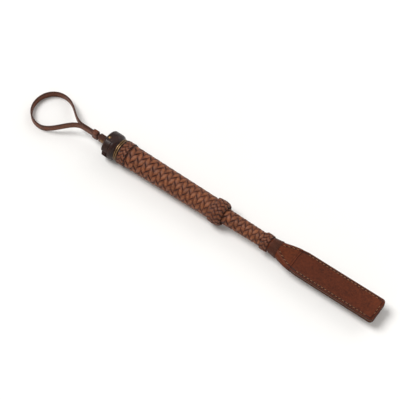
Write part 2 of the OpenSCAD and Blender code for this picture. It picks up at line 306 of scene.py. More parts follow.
def antique_metal(name, deep, base, bright):
    """Browned metal that is rubbed bright where a piece says so, with fine wear."""
    mat, tree, bsdf, coords = shader(name, 0.38, metallic=1.0, shine=0.5)
    patches = noise_at(tree, coords, 3 * MM, 5)
    fine = noise_at(tree, coords, 0.4 * MM, 3, stretch=(1, 3, 3))
    tone = attribute(tree, "tone")
    colour = mixed(tree, ramp(tree, patches, 0.35, 0.65), deep, base)
    rubbed = times(tree, ramp(tree, tone, 0.5, 1.0), ramp(tree, patches, 0.3, 0.6, 0.4, 1.0))
    colour = mixed(tree, rubbed, colour, bright)
    tree.links.new(colour, bsdf.inputs["Base Color"])
    tree.links.new(ramp(tree, patches, 0.3, 0.7, 0.28, 0.52), bsdf.inputs["Roughness"])
    bumped(tree, bsdf, [(patches, 0.15, 0.1 * MM), (fine, 0.2, 0.03 * MM)])
    return mat


def moulded(name, deep, base, scuffed):
    """Satin moulded cap with faint turning marks, and scuffs most of all where it is rubbed."""
    mat, tree, bsdf, coords = shader(name, 0.36, coat=0.1)
    cloud = noise_at(tree, coords, 6 * MM, 4)
    scuffs = noise_at(tree, coords, 0.9 * MM, 4, stretch=(1, 2.5, 2.5))
    tone = attribute(tree, "tone")
    colour = mixed(tree, ramp(tree, cloud, 0.35, 0.7), deep, base)
    wear = times(tree, ramp(tree, tone, 0.6, 1.0), ramp(tree, scuffs, 0.45, 0.62))
    colour = mixed(tree, wear, colour, scuffed)
    marks = ramp(tree, scuffs, 0.66, 0.76, 0.0, 0.35)
    colour = mixed(tree, marks, colour, scuffed)
    tree.links.new(colour, bsdf.inputs["Base Color"])
    tree.links.new(ramp(tree, scuffs, 0.4, 0.7, 0.3, 0.55), bsdf.inputs["Roughness"])
    bumped(tree, bsdf, [(cloud, 0.1, 0.2 * MM), (scuffs, 0.18, 0.04 * MM)])
    return mat


def thread(name, deep, base):
    """Waxed linen: the twist is in the piece's tone, whose low lines are painted shade in the ply
    grooves; the fuzz and wax are in the material.
    """
    mat, tree, bsdf, coords = shader(name, 0.6, sheen=0.04, shine=0.2)
    fuzz = noise_at(tree, coords, 0.2 * MM, 4, rough=0.7)
    dirt = noise_at(tree, coords, 7 * MM, 3)
    tone = attribute(tree, "tone")
    # A low tone, in the grooves of the twist, is painted shade.
    colour = mixed(tree, ramp(tree, tone, 0.1, 0.8), deep, base)
    colour = mixed(tree, ramp(tree, dirt, 0.45, 0.7, 0.0, 0.45), colour, deep)
    tree.links.new(colour, bsdf.inputs["Base Color"])
    tree.links.new(ramp(tree, fuzz, 0.3, 0.7, 0.45, 0.7), bsdf.inputs["Roughness"])
    bumped(tree, bsdf, [(fuzz, 0.5, 0.05 * MM), (tone, 0.5, 0.12 * MM)])
    return mat


def felt(name, deep, base):
    """Pressed felt with short fibres."""
    mat, tree, bsdf, coords = shader(name, 0.95, sheen=0.3)
    fibres = noise_at(tree, coords, 0.5 * MM, 6, stretch=(1, 3, 1), rough=0.8)
    tree.links.new(mixed(tree, ramp(tree, fibres, 0.3, 0.7), deep, base),
                   bsdf.inputs["Base Color"])
    bumped(tree, bsdf, [(fibres, 0.9, 0.2 * MM)])
    return mat


def drawn_rod(name, deep, base):
    """Pultruded fibreglass or turned wood: long fibres along the axis."""
    mat, tree, bsdf, coords = shader(name, 0.55)
    fibres = noise_at(tree, coords, 0.5 * MM, 4, stretch=(30, 1, 1))
    tree.links.new(mixed(tree, ramp(tree, fibres, 0.35, 0.65), deep, base),
                   bsdf.inputs["Base Color"])
    bumped(tree, bsdf, [(fibres, 0.3, 0.05 * MM)])
    return mat


BRAID = leather("braid_leather", (46, 17, 7), (113, 58, 30), (154, 95, 59), 0.52, relief=0.3)
KNOT = leather("knot_leather", (40, 14, 6), (92, 44, 22), (136, 80, 48), 0.48, relief=0.3)
INNER = leather("inner_leather", (24, 11, 7), (42, 21, 13), (54, 30, 20), 0.7, toned=False)
FLAPPER = leather("flapper_leather", (34, 11, 4), (87, 35, 13), (113, 55, 27), 0.46,
                  grain=0.9 * MM, relief=0.28, scratches=0.4, shine=0.13)
STRAP = leather("strap_leather", (44, 17, 8), (106, 54, 29), (146, 88, 54), 0.5,
                grain=0.9 * MM, relief=0.3, scratches=0.3)
SUEDE = suede("suede_lining", (78, 44, 25), (122, 76, 46))
METAL = antique_metal("antique_metal", (46, 32, 22), (88, 66, 44), (142, 112, 80))
CAP = moulded("cap_finish", (30, 12, 7), (50, 22, 13), (96, 60, 42))
THREAD = thread("waxed_thread", (60, 34, 20), (140, 98, 66))
BINDING = thread("binding_thread", (26, 10, 5), (84, 40, 20))
FELT = felt("pressed_felt", (84, 70, 56), (134, 116, 94))
FIBREGLASS = drawn_rod("fibreglass", (170, 160, 130), (214, 206, 176))
WOOD = drawn_rod("turned_wood", (92, 58, 34), (140, 98, 62))


# ---- Mesh building ----

class Shape:
    """Points, faces, tones and tints that are gathered before they become one mesh."""

    def __init__(self):
        self.points, self.faces, self.tones, self.tints = [], [], [], []
        self.count = 0

    def add(self, points, tones, tint=0.0):
        """Adds points, and returns the number of the first."""
        points = np.asarray(points, float).reshape(-1, 3)
        first = self.count
        self.points.append(points)
        self.tones.append(np.broadcast_to(np.asarray(tones, float).ravel(), len(points)))
        self.tints.append(np.full(len(points), tint))
        self.count += len(points)
        return first

    def sweep(self, rings, tones, tint=0.0, loop=False, capped=True):
        """Skins rings of points, rows by columns, each ring closed on itself."""
        rows, columns = rings.shape[:2]
        first = self.add(rings, tones, tint)
        for i in range(rows if loop else rows - 1):
            for j in range(columns):
                a, b = i * columns, (i + 1) % rows * columns
                k = (j + 1) % columns
                self.faces.append([first + a + j, first + a + k, first + b + k, first + b + j])
        if capped and not loop:
            self.faces.append([first + j for j in reversed(range(columns))])
            self.faces.append([first + (rows - 1) * columns + j for j in range(columns)])

    def slab(self, top, bottom, top_tones, bottom_tones, tint=0.0):
        """A sheet with thickness: two grids of the same size, joined along their borders."""
        rows, columns = top.shape[:2]
        up = self.add(top, top_tones, tint)
        down = self.add(bottom, bottom_tones, tint)
        for i in range(rows - 1):
            for j in range(columns - 1):
                a, b = i * columns + j, (i + 1) * columns + j
                self.faces.append([up + a, up + b, up + b + 1, up + a + 1])
                self.faces.append([down + a, down + a + 1, down + b + 1, down + b])
        border = ([j for j in range(columns)]
                  + [i * columns + columns - 1 for i in range(1, rows)]
                  + [(rows - 1) * columns + j for j in range(columns - 2, -1, -1)]
                  + [i * columns for i in range(rows - 2, 0, -1)])
        for a, b in zip(border, border[1:] + border[:1]):
            self.faces.append([up + a, up + b, down + b, down + a])

    def piece(self, name, body, material, replaces=(), smooth_angle=None):
        """Makes the object, and says what it rides on, replaces and is made of."""
        mesh = bpy.data.meshes.new(name)
        mesh.from_pydata(np.concatenate(self.points).tolist(), [], self.faces)
        for key, values in (("tone", self.tones), ("tint", self.tints)):
            layer = mesh.attributes.new(key, "FLOAT", "POINT")
            layer.data.foreach_set("value", np.concatenate(values).astype(np.float32))
        edited(mesh, lambda work: bmesh.ops.recalc_face_normals(work, faces=work.faces))
        obj = bpy.data.objects.new(name, mesh)
        SCENE.collection.objects.link(obj)
        mesh.materials.append(material)
        mesh.shade_smooth()
        if smooth_angle is not None:
            mesh.set_sharp_from_angle(angle=math.radians(smooth_angle))
        if replaces:
            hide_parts(*replaces)
        if body:
            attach(obj, body)
        return obj


def pillow(width, thickness, columns=14, crown=0.0, edge=0.55):
    """Section of a flat strand with rounded edges: (across, height) points, and their tones."""
    angles = around(columns) + math.pi / columns
    c, s = np.cos(angles), np.sin(angles)
    across = width / 2 * np.sign(c) * abs(c) ** edge
    height = thickness / 2 * np.sign(s) * abs(s) ** 0.8
    height = height + np.where(s > 0, crown * (1 - (2 * across / width) ** 2), 0)
    # tone is 1 along the top's middle and falls to 0 at the rounded edges and underneath: painted shade
    # low, painted highlight high.
    tone = np.where(s > 0, 1 - abs(2 * across / width) ** 3, 0.0)
    return across, height, tone


def on_axis(x, radius, angle):
    """Points at a distance from the crop's axis; the angle is measured from +Y towards +Z."""
    return np.stack([x, radius * np.cos(angle), AXIS_Z + radius * np.sin(angle)], -1)


def lathe(shape, x, radius, tone, columns=96, loop=False):
    """Adds the surface turned from a profile along the crop's axis."""
    angles = around(columns)
    rings = on_axis(np.repeat(np.array(x)[:, None], columns, 1),
                    np.array(radius)[:, None], angles[None, :])
    shape.sweep(rings, np.repeat(np.array(tone, float)[:, None], columns, 1), loop=loop)


# ---- Plaiting ----

ROW_STEP = 0.55 * MM        # distance between a strand's rings
TABLE_MARGIN = 20 * MM      # how far the table of turns goes past a plait's ends
PLAIT_SNAP, KNOT_SNAP = 2.8, 2      # how steeply a strand goes from under to over


def plait(shape, x1, x2, radius, strands, lean, width, thickness, lift):
    """Strands that cross over and under round the axis. radius(x) is the plait's middle surface,
    strands the number each way, lean their angle to the axis and lift how far they weave."""
    rows = int((x2 - x1) / ROW_STEP)
    table_x = np.linspace(x1 - TABLE_MARGIN, x2 + TABLE_MARGIN, 400)
    turn = np.tan(lean) / radius(table_x)
    table_turn = np.concatenate([[0], np.cumsum((turn[1:] + turn[:-1]) / 2 * np.diff(table_x))])
    across, height, tone = pillow(width, thickness, crown=0.12 * MM)
    x = np.linspace(x1, x2, rows)[:, None]
    for way in (1, -1):
        for i in range(strands):
            px = np.clip(x - way * math.sin(lean) * across[None, :], x1, x2)
            phi = (2 * math.pi * i / strands + way * np.interp(x, table_x, table_turn)
                   + math.cos(lean) * across[None, :] / radius(x))
            over = way * np.cos(strands * np.interp(px, table_x, table_turn))
            weave = np.tanh(PLAIT_SNAP * over) / math.tanh(PLAIT_SNAP)
            r = radius(px) + lift * weave + height[None, :]
            # Where a strand dives under the crossing strands its tone drops: painted shade under the
            # crossings.
            tones = tone[None, :] * (0.5 + 0.5 * weave)
            shape.sweep(on_axis(px, r, phi), tones, tint=rng.random())


class Ridge:
    """Side view of a ring that rises from one surface over a crest and comes down to another."""

    def __init__(self, x1, r1, x2, r2, crest, squareness=2.25):
        a = np.linspace(math.pi, 0, 241)
        c, s = np.cos(a), np.sin(a)
        x = (x1 + x2) / 2 + (x2 - x1) / 2 * np.sign(c) * abs(c) ** (2 / squareness)
        foot = r1 + (r2 - r1) * (x - x1) / (x2 - x1)
        self.x, self.r = x, foot + (crest - foot) * abs(s) ** (2 / squareness)
        steps = np.hypot(np.diff(self.x), np.diff(self.r))
        self.run = np.concatenate([[0], np.cumsum(steps)])
        self.half = self.run[-1] / 2
        self.run -= self.half
        along_x, along_r = np.gradient(self.x, self.run), np.gradient(self.r, self.run)
        self.out_x, self.out_r = -along_r, along_x

    def at(self, s, height=0.0):
        """x and radius at a distance s along the ridge from its middle, and a height above it."""
        x, r, out_x, out_r = (np.interp(s, self.run, v)
                              for v in (self.x, self.r, self.out_x, self.out_r))
        return x + out_x * height, r + out_r * height


def turks_head(shape, ridge, leads, bights, width, thickness, lift):
    """One strand woven into a ring knot over a ridge."""
    across, height, tone = pillow(width, thickness, crown=0.15 * MM, columns=12)
    phi = np.linspace(0, 2 * math.pi * leads, bights * 40, endpoint=False)[:, None]
    theta = bights * phi / leads
    reach = ridge.half - width / 2 - 0.2 * MM
    s = reach * np.cos(theta)
    slope = -reach * bights / leads * np.sin(theta)
    r_here = ridge.at(s)[1]
    norm = np.hypot(slope, r_here)
    turn = phi - across[None, :] * slope / norm / r_here
    weave = np.tanh(KNOT_SNAP * np.sin((leads - 1) * theta)) / math.tanh(KNOT_SNAP)
    x, r = ridge.at(s + across[None, :] * r_here / norm, lift * weave + height[None, :])
    # Where the strand passes under others its tone drops: painted shade under the crossings.
    shape.sweep(on_axis(x, r, turn), tone[None, :] * (0.6 + 0.4 * weave), tint=0.3 * rng.random(),
                loop=True)


def knot_piece(name, node, body, leads, bights, width, feet):
    """A ring knot over a foundation coloured as painted shade, in the place of a CAD ring. feet are the
    radii of what it comes down to at its two ends."""
    low, high = span(node)
    thickness, lift = 1.25 * MM, 0.55 * MM
    crest = (high[2] - low[2]) / 2 - thickness / 2 - lift - 0.15 * MM
    inset = 0.4 * MM
    ridge = Ridge(low[0] + inset, feet[0] + 0.5 * MM, high[0] - inset, feet[1] + 0.5 * MM, crest)
    shape = Shape()
    turks_head(shape, ridge, leads, bights, width, thickness, lift)
    # The foundation under the strands has tone 0, so it is coloured as painted shade in the gaps of the
    # knot.
    x, r = ridge.at(np.linspace(-ridge.half, ridge.half, 25), -0.75 * MM)
    x = np.clip(x, low[0], high[0])
    lathe(shape, [x[0], *x, x[-1]], [feet[0] - 1.4 * MM, *r, feet[1] - 1.4 * MM],
          np.zeros(len(x) + 2), loop=True)
    return shape.piece(name, body, KNOT, (node,))


# Grip, shaft and their knots
grip_low, grip_high = span("grip_braid")
GRIP_R = (end_radius("grip_braid", False), end_radius("grip_braid", True))
shaft_low, shaft_high = span("shaft_braid")
SHAFT_R = (end_radius("shaft_braid", False), end_radius("shaft_braid", True))
STRAND_T = 1.05 * MM
WEAVE = 0.45 * MM
STRAND_TOP = STRAND_T / 2 + WEAVE + 0.12 * MM


def between(x1, r1, x2, r2):
    """A straight taper as a function of x."""
    def radius(px):
        return r1 + (r2 - r1) * (np.asarray(px) - x1) / (x2 - x1)
    return radius


def grip():
    """Sixteen-strand plait of the handle."""
    radius = between(grip_low[0], GRIP_R[0] - STRAND_TOP, grip_high[0], GRIP_R[1] - STRAND_TOP)
    shape = Shape()
    plait(shape, grip_low[0] + 1 * MM, grip_high[0] - 1 * MM, radius, 8, math.radians(43),
          7.3 * MM, STRAND_T, WEAVE)
    shape.piece("grip_plait", "handle", BRAID, ("grip_braid",))


def flexed(obj):
    """Bakes a piece's placement into its mesh; the piece rides on no body."""
    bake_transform(obj)


def shaft():
    """Twelve-strand plait of the shaft, between the handle and the neck."""
    radius = between(shaft_low[0], SHAFT_R[0] - STRAND_TOP, shaft_high[0], SHAFT_R[1] - STRAND_TOP)
    shape = Shape()
    plait(shape, shaft_low[0] - 0.5 * MM, shaft_high[0] + 0.5 * MM, radius, 6, math.radians(41),
          6.7 * MM, STRAND_T, WEAVE)
    flexed(shape.piece("shaft_plait", None, BRAID, ("shaft_braid",)))


def rod():
    """The rod inside."""
    low, high = span("core_rod")
    r1, r2 = end_radius("core_rod", False), end_radius("core_rod", True)
    xs = np.linspace(low[0], high[0], 120)
    radii = between(low[0], r1, high[0], r2)(xs)
    shape = Shape()
    lathe(shape, [low[0], *xs, high[0]], [r1 - 0.6 * MM, *radii, r2 - 0.6 * MM],
          np.ones(len(xs) + 2), columns=32)
    flexed(shape.piece("bending_rod", None, FIBREGLASS, ("core_rod",)))


# ---- Butt ----

def cut(obj, cutters):
    """Takes solids away from a piece, and removes them."""
    for tool in cutters:
        modifier = obj.modifiers.new("cut", "BOOLEAN")
        modifier.object = tool
        modifier.solver = "EXACT"
    applied(obj)
    for tool in cutters:
        bpy.data.objects.remove(tool)


def applied(obj):
    """Replaces a piece's mesh by what its modifiers make of it."""
    result = bpy.data.meshes.new_from_object(obj.evaluated_get(bpy.context.evaluated_depsgraph_get()))
    obj.modifiers.clear()
    obj.data = result


def cutter(build):
    """A scratch object whose mesh build(work) makes."""
    mesh = bpy.data.meshes.new("cutter")
    edited(mesh, build)
    obj = bpy.data.objects.new("cutter", mesh)
    SCENE.collection.objects.link(obj)
    return obj


def block(low, high):
    """A cutting box between two corners."""
    def build(work):
        bmesh.ops.create_cube(work, size=1)
        for vert in work.verts:
            vert.co = [l + (h - l) * (c + 0.5) for l, h, c in zip(low, high, vert.co)]
    return cutter(build)


def rod_block(centre, radius, length):
    """An upright cutting cylinder."""
    return cutter(lambda work: bmesh.ops.create_cone(
        work, cap_ends=True, segments=48, radius1=radius, radius2=radius, depth=length,
        matrix=Matrix.Translation(centre)))


def butt_cap():
    """Domed cap with a turned groove, milled flats and the loop's slot, all with broken edges."""
    low, high = span("butt_cap")
    radius = (high[1] - low[1]) / 2
    tall = (high[2] - low[2]) / 2
    tab_low, tab_high = span("loop_tab")
    slot_half = (tab_high[2] - tab_low[2]) / 2 + 0.3 * MM
    pin_low, pin_high = span("loop_pin")
    pin_r = (pin_high[0] - pin_low[0]) / 2
    dome, edge, back = 30 * MM, 3 * MM, 6 * MM      # radii of the dome, its edge and the cap's back
    length, slot_depth = 22 * MM, 14.5 * MM
    start = high[0] - length
    edge_x = dome - math.sqrt((dome - edge) ** 2 - (radius - edge) ** 2)
    lean = math.asin((radius - edge) / (dome - edge))
    profile = [(start + dome * (1 - math.cos(a)), dome * math.sin(a))
               for a in np.linspace(0.012, lean, 14)]
    profile += [(start + edge_x - edge * math.cos(a), radius - edge + edge * math.sin(a))
                for a in np.linspace(lean, math.pi / 2, 9)[1:]]
    groove_x, groove_r, groove_depth = high[0] - back - 1.6 * MM, 0.7 * MM, 0.55 * MM
    profile += [(groove_x + groove_r * math.sin(a),
                 radius - groove_depth * (1 + math.cos(2 * a)) / 2)
                for a in np.linspace(-math.pi / 2, math.pi / 2, 17)]
    profile += [(high[0] - back + back * math.sin(a), radius - back + back * math.cos(a))
                for a in np.linspace(0.05, math.radians(58), 10)]
    profile += [(high[0], radius - 3 * MM), (high[0], end_radius("handle_core", False))]
    shape = Shape()
    lathe(shape, [p[0] for p in profile], [p[1] for p in profile], np.zeros(len(profile)), 128)
    obj = shape.piece("domed_cap", None, CAP)
    wide = 2 * radius
    cutters = [block((start - wide, -wide, AXIS_Z - slot_half),
                     (start + slot_depth, wide, AXIS_Z + slot_half)),
               rod_block((PIN_X, 0, AXIS_Z), pin_r + 0.15 * MM, 3 * wide)]
    for side in (-1, 1):
        far, near = AXIS_Z + side * 3 * tall, AXIS_Z + side * tall
        cutters.append(block((start - wide, -wide, min(far, near)),
                             (high[0] + wide, wide, max(far, near))))
    cut(obj, cutters)
    bevel = obj.modifiers.new("edges", "BEVEL")
    bevel.width = 0.45 * MM
    bevel.segments = 6
    bevel.limit_method = "ANGLE"
    bevel.angle_limit = math.radians(32)
    bevel.material = 1
    obj.data.materials.append(CAP)
    applied(obj)
    edited(obj.data, lambda work: bmesh.ops.dissolve_degenerate(
        work, dist=0.004 * MM, edges=work.edges))
    obj.data.shade_smooth()
    obj.data.set_sharp_from_angle(angle=math.radians(17))
    rubbed(obj.data)
    normals = obj.modifiers.new("normals", "WEIGHTED_NORMAL")
    normals.keep_sharp = True
    applied(obj)
    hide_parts("butt_cap")
    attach(obj, "handle")


def rubbed(mesh):
    """Gives the bevel faces, which are what wears, a tone of 1. They carry the second material."""
    bevels = [bool(polygon.material_index) for polygon in mesh.polygons]
    mesh.polygons.foreach_set("material_index", [0] * len(bevels))
    mesh.materials.pop(index=1)
    mesh.attributes.remove(mesh.attributes["tone"])
    tone = mesh.attributes.new("tone", "FLOAT", "FACE")
    tone.data.foreach_set("value", [1.0 if bevel else 0.4 for bevel in bevels])


def ferrule():
    """Turned ferrule with two beads and a groove between them."""
    low, high = span("butt_ferrule")
    outer = (high[2] - low[2]) / 2
    length = high[0] - low[0]
    xs = np.linspace(0, 1, 33)
    beads = outer - 0.75 * MM + 0.75 * MM * abs(np.sin(2 * math.pi * xs)) ** 0.6
    inner = end_radius("handle_core", False)
    shape = Shape()
    x = [low[0]] + list(low[0] + length * xs) + [high[0]]
    tones = [0.2] + list(0.35 + 0.65 * abs(np.sin(2 * math.pi * xs)) ** 2) + [0.2]
    lathe(shape, x, [inner] + list(beads) + [inner], tones, loop=True)
    return shape.piece("beaded_ferrule", "handle", METAL, ("butt_ferrule",))


def turned_pin(name, node, body, direction, profile):
    """A pin or rivet turned about a CAD node's own middle. profile is (height, radius, tone)."""
    low, high = span(node)
    centre = (low + high) / 2
    side, other = (X, Y) if direction is Z else (X, Z)
    angles = around(40)
    ring = np.cos(angles)[:, None] * side + np.sin(angles)[:, None] * other
    rings = np.array([centre + h * direction + r * ring for h, r, _ in profile])
    tones = np.repeat(np.array([t for _, _, t in profile])[:, None], len(angles), 1)
    shape = Shape()
    shape.sweep(rings, tones)
    return shape.piece(name, body, METAL, (node,))


def domed(reach, height, radius, count):
    """Profile of a domed end, from its middle to its rim."""
    return [(reach - height * (1 - math.cos(a)), radius * math.sin(a), 1.0)
            for a in np.linspace(0.05, math.pi / 2, count)]


def loop_pin():
    """The pin that the loop swings on, with domed ends."""
    low, high = span("loop_pin")
    half, radius = (high[2] - low[2]) / 2, (high[0] - low[0]) / 2
    ends = domed(half, 0.35 * MM, radius, 8)
    profile = [(-h, r, t) for h, r, t in ends] + [(-half * 0.5, radius, 0.5), (half * 0.5, radius, 0.5)]
    return turned_pin("domed_pin", "loop_pin", "handle", Z, profile + ends[::-1])


def tab_rivet():
    """Rivet with a domed head on each side of the tab."""
    low, high = span("tab_rivet")
    half, head = (high[1] - low[1]) / 2, (high[0] - low[0]) / 2
    head_t, shank = 1.0 * MM, 1.5 * MM
    ends = domed(half, head_t, head, 9) + [(half - head_t, shank, 0.3)]
    return turned_pin("domed_rivet", "tab_rivet", "wrist_loop", Y,
                      [(-h, r, t) for h, r, t in ends] + ends[::-1])


# ---- Neck ----

neck_low, neck_high = span("neck_sleeve")
COLLAR_END = span("neck_collar")[1][0]
NECK_R = end_radius("neck_sleeve", False)
MOUTH_Y = (neck_high[1] - neck_low[1]) / 2
MOUTH_Z = float(np.ptp([p[2] for p in node_points("neck_sleeve")
                        if p[0] > neck_high[0] - 0.02 * MM])) / 2


def neck_share(x):
    """How far the neck has gone from round, at the collar, to flat, at the mouth."""
    return eased(np.clip((x - COLLAR_END) / (neck_high[0] - COLLAR_END), 0, 1))


def oval_lengths(x, grow=0.0):
    """Lengths of a half circle and of a flat of the neck's section at x."""
    share = neck_share(x)
    return math.pi * (NECK_R + (MOUTH_Z - NECK_R) * share + grow), 2 * (MOUTH_Y - MOUTH_Z) * share


def oval(x, turn, grow=0.0):
    """Point on the neck's section at x: a circle at the collar that flattens to a slot at the mouth.
    turn goes round from 0 to 1, starting at +Y."""
    arc, flat = oval_lengths(x, grow)
    rounding, half_flat, quarter = arc / math.pi, flat / 2, arc / 2
    s = np.mod(turn, 1.0) * 2 * (arc + flat)
    y, z, normal_y, normal_z = (np.zeros_like(s) for _ in range(4))
    steps = [(quarter, "arc", 1, 0.0), (flat, "top", 0, 0.0), (arc, "arc", -1, math.pi / 2),
             (flat, "bottom", 0, 0.0), (quarter, "arc", 1, 1.5 * math.pi)]
    start = np.zeros_like(s)
    for length, kind, side, angle0 in steps:
        here = (s >= start - 1e-12) & (s <= start + length + 1e-12)
        d = s - start
        if kind == "arc":
            a = angle0 + d / np.maximum(rounding, 1e-9)
            ny, nz = np.cos(a), np.sin(a)
            py, pz = side * half_flat + rounding * ny, rounding * nz
        else:
            up = 1 if kind == "top" else -1
            ny, nz = np.zeros_like(s), np.full_like(s, up)
            py, pz = up * (half_flat - d), up * rounding
        y, z = np.where(here, py, y), np.where(here, pz, z)
        normal_y, normal_z = np.where(here, ny, normal_y), np.where(here, nz, normal_z)
        start = start + length
    return y, z, normal_y, normal_z


def neck_wall(x):
    """Thickness of the neck's leather, which is pared down to the mouth."""
    return (2.0 - 1.45 * neck_share(x)) * MM


def neck_sleeve():
    """Leather sleeve: round under the collar, flat at the mouth, with a seam along each side."""
    rows, columns = 70, 144
    turn = np.linspace(0, 1, columns, endpoint=False)[None, :]
    x = np.linspace(neck_low[0], neck_high[0], rows)[:, None]
    share = neck_share(x)
    seam = np.minimum(abs(turn), abs(turn - 0.5))
    seam = np.minimum(seam, abs(turn - 1.0)) * columns
    notch = 0.45 * MM * np.exp(-(seam / 1.1) ** 2) * np.clip(share * 3, 0, 1)
    line = 0.22 * MM * np.exp(-((x - (neck_high[0] - 2.6 * MM)) / (0.35 * MM)) ** 2)
    arc, flat = oval_lengths(x)
    along = turn * 2 * (arc + flat)
    drawn = np.min([abs(along - corner) for corner in (arc / 2, arc / 2 + flat, 1.5 * arc + flat,
                                                       1.5 * arc + 2 * flat)], axis=0)
    line = line + 0.3 * MM * np.exp(-(drawn / (0.7 * MM)) ** 2) * np.clip(3 * share - 0.2, 0, 1)
    rim = 0.35 * MM * np.exp(-(neck_high[0] - x) / (0.3 * MM))
    full = np.broadcast_to(x, (rows, columns))
    y, z, ny, nz = oval(full, np.broadcast_to(turn, (rows, columns)))
    push = -(notch + line + rim)
    outer = np.stack([full, y + ny * push, AXIS_Z + z + nz * push], -1)
    # Tones paint shade into the seam notches, the crease line by the mouth, the drawn lines along the
    # flats and the rim of the mouth.
    tones = 0.78 - 0.7 * np.clip((notch + line + rim) / (0.3 * MM), 0, 1)
    wall = neck_wall(x)
    inner = np.stack([full, y - ny * wall, AXIS_Z + z - nz * wall], -1)
    shape = Shape()
    # The inner surface has tone 0: painted shade inside the sleeve.
    shape.sweep(np.concatenate([outer, inner[::-1]]),
                np.concatenate([tones, np.zeros((rows, columns))]), loop=True)
    return shape.piece("neck_leather", "tip", FLAPPER, ("neck_sleeve",))


def cord_ring(shape, path, normals, radius, tone, columns=8):
    """Sweeps a round thread along a path; its twist goes into the tone, as painted shade in the grooves
    between plies.
    """
    ahead = np.gradient(path, axis=0)
    ahead /= np.linalg.norm(ahead, axis=1)[:, None]
    side = np.cross(ahead, normals)
    side /= np.linalg.norm(side, axis=1)[:, None]
    up = np.cross(side, ahead)
    angles = around(columns)
    rings = (path[:, None, :] + radius * (np.cos(angles)[None, :, None] * side[:, None, :]
                                          + np.sin(angles)[None, :, None] * up[:, None, :]))
    run = np.concatenate([[0], np.cumsum(np.linalg.norm(np.diff(path, axis=0), axis=1))])
    # Twist stripes: the tone dips along the ply grooves, painted shade.
    twist = 0.72 + 0.28 * np.cos(angles[None, :] - run[:, None] / (0.4 * MM))
    shape.sweep(rings, tone * twist)


def neck_binding():
    """Whipping of waxed thread, turn beside turn, round the neck."""
    low, high = span("neck_binding")
    thread_r = 0.6 * MM
    turns = int((high[0] - low[0]) / (2 * thread_r))
    count = turns * 56
    turn = np.linspace(0, turns, count)
    x = low[0] + thread_r + (high[0] - low[0] - 2 * thread_r) * turn / turns
    y, z, ny, nz = oval(x, turn, grow=0.4 * MM)
    path = np.stack([x, y, AXIS_Z + z], -1)
    normals = np.stack([np.zeros_like(x), ny, nz], -1)
    shape = Shape()
    cord_ring(shape, path, normals, thread_r, 0.95)
    return shape.piece("neck_whipping", "tip", BINDING, ("neck_binding",))


def stitch_set(name, node, body):
    """Waxed stitches, one in the place of each solid of a CAD stitching node."""
    shape = Shape()
    rows, columns = 11, 8
    angles = around(columns)
    for points in islands(node):
        centre = points.mean(0)
        values, axes = np.linalg.eigh(np.cov((points - centre).T))
        along, across, up = axes[:, 2], axes[:, 1], axes[:, 0]
        if up[2] * (centre[2] - AXIS_Z) < 0:
            up = -up
        half = float(abs((points - centre) @ along).max())
        deep = float(abs((points - centre) @ up).max())
        lean = math.radians(7) * (1 if along[0] >= 0 else -1)
        slant = math.cos(lean) * along + math.sin(lean) * across
        t = np.linspace(-1, 1, rows)
        size = 0.42 * MM * np.sqrt(np.clip(1 - t ** 6, 0.02, 1))
        base = centre - deep * up
        rise = 0.12 * MM - 0.6 * MM * t ** 4
        middle = base + (half * t)[:, None] * slant + rise[:, None] * up
        rings = (middle[:, None, :]
                 + size[:, None, None] * (np.cos(angles)[None, :, None] * np.cross(up, slant)
                                          + 0.8 * np.sin(angles)[None, :, None] * up))
        # Twist stripes: the tone dips along the ply grooves, painted shade.
        twist = 0.8 + 0.2 * np.cos(angles[None, :] - 9 * t[:, None])
        shape.sweep(rings, twist)
    return shape.piece(name, body, THREAD, (node,))


# ---- Leaves ----

def edge_list(length, near, step):
    """Distances from 0 to length, close together near 0, where the edge, crease and seam are."""
    marks = [0, 0.1, 0.25, 0.5, 0.8, 1.15, 1.45, 1.65, 1.8, 1.95, 2.15, 2.4, 2.6, 2.8, 3.0, 3.2, 3.4,
             3.7, 4.2]
    rest = np.linspace(near, length, int((length - near) / step) + 1)
    return np.concatenate([np.array(marks) * MM, rest])


def leaf_grid(node):
    """Grid over a leaf's plan: x, y, and each point's distance in from the edge."""
    low, high = span(node)
    corner = 5 * MM
    half = (high[1] - low[1]) / 2
    tucked = joint("upper_leaf_bend")["pos_m"][0] - 9 * MM
    x = (high[0] - edge_list(high[0] - tucked, 5 * MM, 1.4 * MM))[::-1]
    share = 1 - edge_list(half, 5 * MM, 1.3 * MM) / half
    share = np.concatenate([-share[:-1], share[::-1]])
    into = np.clip(x - (high[0] - corner), 0, corner)
    root = NECK_R + (MOUTH_Y - NECK_R) * neck_share(x) - neck_wall(x) - 0.3 * MM
    shoulder = np.clip((x - neck_high[0]) / (8 * MM), 0, 1)
    limit = root + (half - root) * eased(shoulder)
    width = np.minimum(limit, half - corner + np.sqrt(np.maximum(corner ** 2 - into ** 2, 0)))
    gx = np.repeat(x[:, None], len(share), 1)
    gy = width[:, None] * share[None, :]
    qx = gx - (high[0] - corner)
    qy = abs(gy) - np.where(into[:, None] > 0, half - corner, width[:, None] - corner)
    outside = np.hypot(np.maximum(qx, 0), np.maximum(qy, 0))
    inset = corner - (outside + np.minimum(np.maximum(qx, qy), 0))
    return gx, gy, np.maximum(inset, 0), tucked, high[0]


def groove(inset, at, width, depth):
    """A rounded groove along the edge at a distance in from it."""
    return depth * np.exp(-((inset - at) / width) ** 2)


def leaf_warp(gx, gy, start, end, phase):
    """Slow waves and a slight lift of the free end, growing from nothing at the root."""
    share = np.clip((gx - start) / (end - start), 0, 1)
    wave = 0.22 * MM * np.sin(share * 5.1 + phase) * np.cos(gy / (11 * MM) + phase)
    return share ** 1.5 * wave + 0.45 * MM * share ** 3


